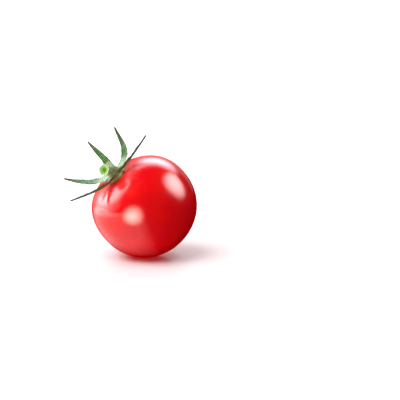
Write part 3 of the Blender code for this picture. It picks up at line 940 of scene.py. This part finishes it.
# Three of these zones paint light: red bounce light close to the fruit, shade off to the right, and a red
# glow where the fruit touches.
TABLE_ZONES = {
    "painted_red_bounce": (15, 5, 0.9),
    "satin": (60, 20, 0.22),
    "painted_shade_right": (0, 30, 0.7),
    "overexposed": (35, 110, 0.5),
    "through": (13, 4, 0.16),
}  # in mm from the fruit, or to its right for the card: where each begins, and is full; and its strength
bpy.ops.object.select_all(action="DESELECT")
bpy.ops.mesh.primitive_plane_add(size=TABLE_SIDE)
table = bpy.context.object
table.name = "table"
board = bpy.data.materials.new("satin white table")
board.use_nodes = True
tree = board.node_tree
place = add_node(tree, "ShaderNodeTexCoord", {}).outputs["Object"]
from_fruit = add_node(tree, "ShaderNodeVectorMath", {0: place}, operation="LENGTH").outputs["Value"]
to_right = add_node(tree, "ShaderNodeSeparateXYZ", {0: place}).outputs["X"]
off_painted_bounce = add_node(
    tree, "ShaderNodeVectorMath", {0: place, 1: PAINTED_BOUNCE_CENTRE}, operation="SUBTRACT"
).outputs[0]
off_painted_bounce = add_node(tree, "ShaderNodeVectorMath", {0: off_painted_bounce}, operation="LENGTH").outputs["Value"]
measures = {"painted_red_bounce": off_painted_bounce, "painted_shade_right": to_right}
zones = {}
for name, (begins, full, most) in TABLE_ZONES.items():
    zones[name] = add_node(
        tree,
        "ShaderNodeMapRange",
        {0: measures.get(name, from_fruit), 1: begins * MM, 2: full * MM, 4: most},
        interpolation_type="SMOOTHSTEP",
    ).outputs[0]
clouds = add_node(tree, "ShaderNodeTexNoise", {"Vector": place, "Scale": 8.0}).outputs[0]
paint = add_node(
    tree, "ShaderNodeMix", {0: clouds, 6: colour("#F5F5F7"), 7: colour("#F9F8FA")}, data_type="RGBA"
).outputs[2]
# Painted red bounce light: the table turns pink close to the fruit.
paint = add_node(
    tree, "ShaderNodeMix", {0: zones["painted_red_bounce"], 6: paint, 7: colour("#FF6E7E")}, data_type="RGBA"
).outputs[2]
shader = tree.nodes["Principled BSDF"]
tree.links.new(zones["satin"], shader.inputs["Specular IOR Level"])
tree.links.new(paint, shader.inputs["Base Color"])
shader.inputs["Roughness"].default_value = 0.3

# What the skin mirrors of the table: it is bright to the left, and dark to the right, far off in front and
# behind, and close to the fruit.
TABLE_SHINE = ((8, 0.0), (-4, 1.15), (-25, 1.2), (-50, 1.3), (-75, 1.7), (-105, 3.6), (-200, 4.6))
FRONT = (-0.1, 1, 0)
BEHIND = (0.6, 1, 0)
strength = 0.0
for (near, dim), (far, bright) in zip(TABLE_SHINE, TABLE_SHINE[1:]):  # mm to the right, and strength there
    rise = add_node(
        tree, "ShaderNodeMapRange", {0: to_right, 1: near * MM, 2: far * MM, 4: bright - dim}
    ).outputs[0]
    strength = add_node(tree, "ShaderNodeMath", {0: rise, 1: strength}).outputs[0]
in_front = add_node(
    tree, "ShaderNodeVectorMath", {0: place, 1: FRONT}, operation="DOT_PRODUCT"
).outputs["Value"]
behind = add_node(
    tree, "ShaderNodeVectorMath", {0: place, 1: BEHIND}, operation="DOT_PRODUCT"
).outputs["Value"]
for measure, dark, light, least in ((in_front, -150, -32, 0), (from_fruit, 7, 24, 0), (behind, 60, -20, 0.2)):
    fade = add_node(
        tree,
        "ShaderNodeMapRange",
        {0: measure, 1: dark * MM, 2: light * MM, 3: least},
        interpolation_type="SMOOTHSTEP",
    ).outputs[0]
    strength = add_node(tree, "ShaderNodeMath", {0: strength, 1: fade}, operation="MULTIPLY").outputs[0]
glow = add_node(tree, "ShaderNodeEmission", {0: colour("#FFF6F2"), 1: strength}).outputs[0]
path = add_node(tree, "ShaderNodeLightPath", {})
surface = add_node(
    tree, "ShaderNodeMixShader", {0: path.outputs["Is Glossy Ray"], 1: shader.outputs[0], 2: glow}
).outputs[0]

# Painted shade: off to the right the table is black to diffuse rays, like a dark card there, so it doesn't
# light the fruit's right side.
painted_shade_right = add_node(
    tree, "ShaderNodeMath", {0: zones["painted_shade_right"], 1: path.outputs["Is Diffuse Ray"]}, operation="MULTIPLY"
).outputs[0]
dark = add_node(tree, "ShaderNodeBsdfDiffuse", {0: (0, 0, 0, 1)}).outputs[0]
surface = add_node(tree, "ShaderNodeMixShader", {0: painted_shade_right, 1: surface, 2: dark}).outputs[0]

# Away from the fruit the picture is overexposed, so that the table runs into the white behind it.
overexposed = add_node(
    tree,
    "ShaderNodeMath",
    {0: zones["overexposed"], 1: path.outputs["Is Camera Ray"]},
    operation="MULTIPLY",
).outputs[0]
overexposed = add_node(tree, "ShaderNodeEmission", {1: overexposed}).outputs[0]
surface = add_node(tree, "ShaderNodeAddShader", {0: surface, 1: overexposed}).outputs[0]

# A painted red glow: the table glows red where the fruit touches it, in place of the light that the flesh
# lets through.
through = add_node(tree, "ShaderNodeEmission", {0: colour("#FF2838"), 1: zones["through"]}).outputs[0]
surface = add_node(tree, "ShaderNodeAddShader", {0: surface, 1: through}).outputs[0]
tree.links.new(surface, tree.nodes["Material Output"].inputs["Surface"])
table.data.materials.append(board)

# The room: its light fades and reddens from left to right. The skin mirrors only a low white wall at the back
# and left of it, and the picture's backdrop is white.
ROOM_LIGHT = ((0.92, 0.92, 0.92, 1), (0.62, 0.38, 0.36, 1))  # at the far left and at the far right
WALL_SHINE = 1.0
world = bpy.data.worlds.new("studio")
world.use_nodes = True
bpy.context.scene.world = world
tree = world.node_tree
tree.nodes.clear()
path = add_node(tree, "ShaderNodeLightPath", {})
way = add_node(tree, "ShaderNodeTexCoord", {}).outputs["Generated"]
way = add_node(tree, "ShaderNodeSeparateXYZ", {0: way})
ambient = add_node(tree, "ShaderNodeMapRange", {0: way.outputs["X"], 1: -1.0, 2: 1.0}).outputs[0]
ambient = add_node(
    tree, "ShaderNodeMix", {0: ambient, 6: ROOM_LIGHT[0], 7: ROOM_LIGHT[1]}, data_type="RGBA"
).outputs[2]
wall = WALL_SHINE
for axis, dark, light in (("X", 0.65, 0.1), ("Z", 0.6, 0.4), ("Y", 0.1, 0.5)):
    fade = add_node(tree, "ShaderNodeMapRange", {0: way.outputs[axis], 1: dark, 2: light}).outputs[0]
    wall = add_node(tree, "ShaderNodeMath", {0: fade, 1: wall}, operation="MULTIPLY").outputs[0]
room = add_node(tree, "ShaderNodeBackground", {0: ambient, 1: 1.0}).outputs[0]
shine = add_node(tree, "ShaderNodeBackground", {0: (1, 1, 1, 1), 1: wall}).outputs[0]
backdrop = add_node(tree, "ShaderNodeBackground", {0: (1, 1, 1, 1), 1: 1.0}).outputs[0]
for ray, seen in (("Is Glossy Ray", shine), ("Is Camera Ray", backdrop)):
    room = add_node(tree, "ShaderNodeMixShader", {0: path.outputs[ray], 1: room, 2: seen}).outputs[0]
add_node(tree, "ShaderNodeOutputWorld", {0: room})

# The broad soft light, which the skin doesn't mirror.
KEY_STRENGTH = 2.25
KEY_SOFTNESS = math.radians(50)
KEY_DIRECTION = (-0.45, -0.2, 0.86)
key = bpy.data.lights.new("key", "SUN")
key.energy = KEY_STRENGTH
key.angle = KEY_SOFTNESS
lamp = bpy.data.objects.new("key", key)
bpy.context.collection.objects.link(lamp)
lamp.rotation_euler = Vector(KEY_DIRECTION).to_track_quat("Z", "Y").to_euler()
lamp.visible_glossy = False

# What the skin mirrors: planes of light that fade towards their edges and let through what is behind them.
SOFT_BOXES = {
    "right_box": ((0.81, 0.08, 0.57), 0.6, (0.66, 0.66), 12.0, 0.75, "#FFF4F2"),
    "left_box": ((-0.85, 0.15, 0.50), 0.6, (0.80, 0.68), 10.5, 0.8, "#FFF6F8"),
    "low_box": ((-0.96, 0.10, 0.10), 0.62, (1.10, 0.90), 4.4, 1.0, "#FFF6F6"),
    "back_box": ((0.14, 0.71, 0.69), 0.6, (1.00, 0.50), 8.8, 1.0, "#F6F2FF"),
    "front_screen": ((-0.25, -0.95, -0.09), 0.033, (0.0235, 0.0235), 17.0, 1.0, "#FFF0DC"),
}  # direction and distance from the fruit, width and height in metres, brightness, share that fades, colour
for name, (direction, away, size, brightness, edge, tint) in SOFT_BOXES.items():
    bpy.ops.object.select_all(action="DESELECT")
    bpy.ops.mesh.primitive_plane_add(size=1)
    box = bpy.context.object
    box.name = name
    direction = Vector(direction).normalized()
    box.location = middle + direction * away
    box.rotation_euler = direction.to_track_quat("Z", "Y").to_euler()
    box.scale = (*size, 1)
    box.visible_camera = box.visible_diffuse = box.visible_transmission = box.visible_shadow = False
    cloth = bpy.data.materials.new(f"{name} cloth")
    cloth.use_nodes = True
    tree = cloth.node_tree
    tree.nodes.clear()
    place = add_node(tree, "ShaderNodeTexCoord", {}).outputs["Object"]
    from_middle = add_node(tree, "ShaderNodeVectorMath", {0: place}, operation="LENGTH").outputs["Value"]
    strength = add_node(
        tree,
        "ShaderNodeMapRange",
        {0: from_middle, 1: 0.5, 2: 0.5 - 0.5 * edge, 4: brightness},
        interpolation_type="SMOOTHSTEP",
    ).outputs[0]
    light = add_node(tree, "ShaderNodeEmission", {0: colour(tint), 1: strength}).outputs[0]
    clear = add_node(tree, "ShaderNodeBsdfTransparent", {}).outputs[0]
    light = add_node(tree, "ShaderNodeAddShader", {0: light, 1: clear}).outputs[0]
    add_node(tree, "ShaderNodeOutputMaterial", {0: light})
    box.data.materials.append(cloth)

# The camera
# A long lens a little above the fruit, so far off that the fruit takes up 104 of the picture's 400 pixels.
PICTURE_SIDE = 400
FRUIT_PIXELS = 103.8
FRUIT_MIDDLE_PIXEL = (144.8, 205.6)
CAMERA_RISE = math.radians(11.0)
camera = bpy.data.cameras.new("camera")
camera.lens = 135.0
camera.sensor_width = 36.0
camera.clip_start = 0.01
pixel = FRUIT_WIDTH / FRUIT_PIXELS
upwards = Vector((0, math.sin(CAMERA_RISE), math.cos(CAMERA_RISE)))
backwards = Vector((0, -math.cos(CAMERA_RISE), math.sin(CAMERA_RISE)))
target = middle + upwards * (FRUIT_MIDDLE_PIXEL[1] - PICTURE_SIDE / 2) * pixel
target.x += (PICTURE_SIDE / 2 - FRUIT_MIDDLE_PIXEL[0]) * pixel
viewpoint = bpy.data.objects.new("camera", camera)
bpy.context.collection.objects.link(viewpoint)
viewpoint.location = target + backwards * PICTURE_SIDE * pixel * camera.lens / camera.sensor_width
viewpoint.rotation_euler = (math.pi / 2 - CAMERA_RISE, 0, 0)
bpy.context.scene.camera = viewpoint
bpy.context.scene.view_settings.view_transform = "Standard"
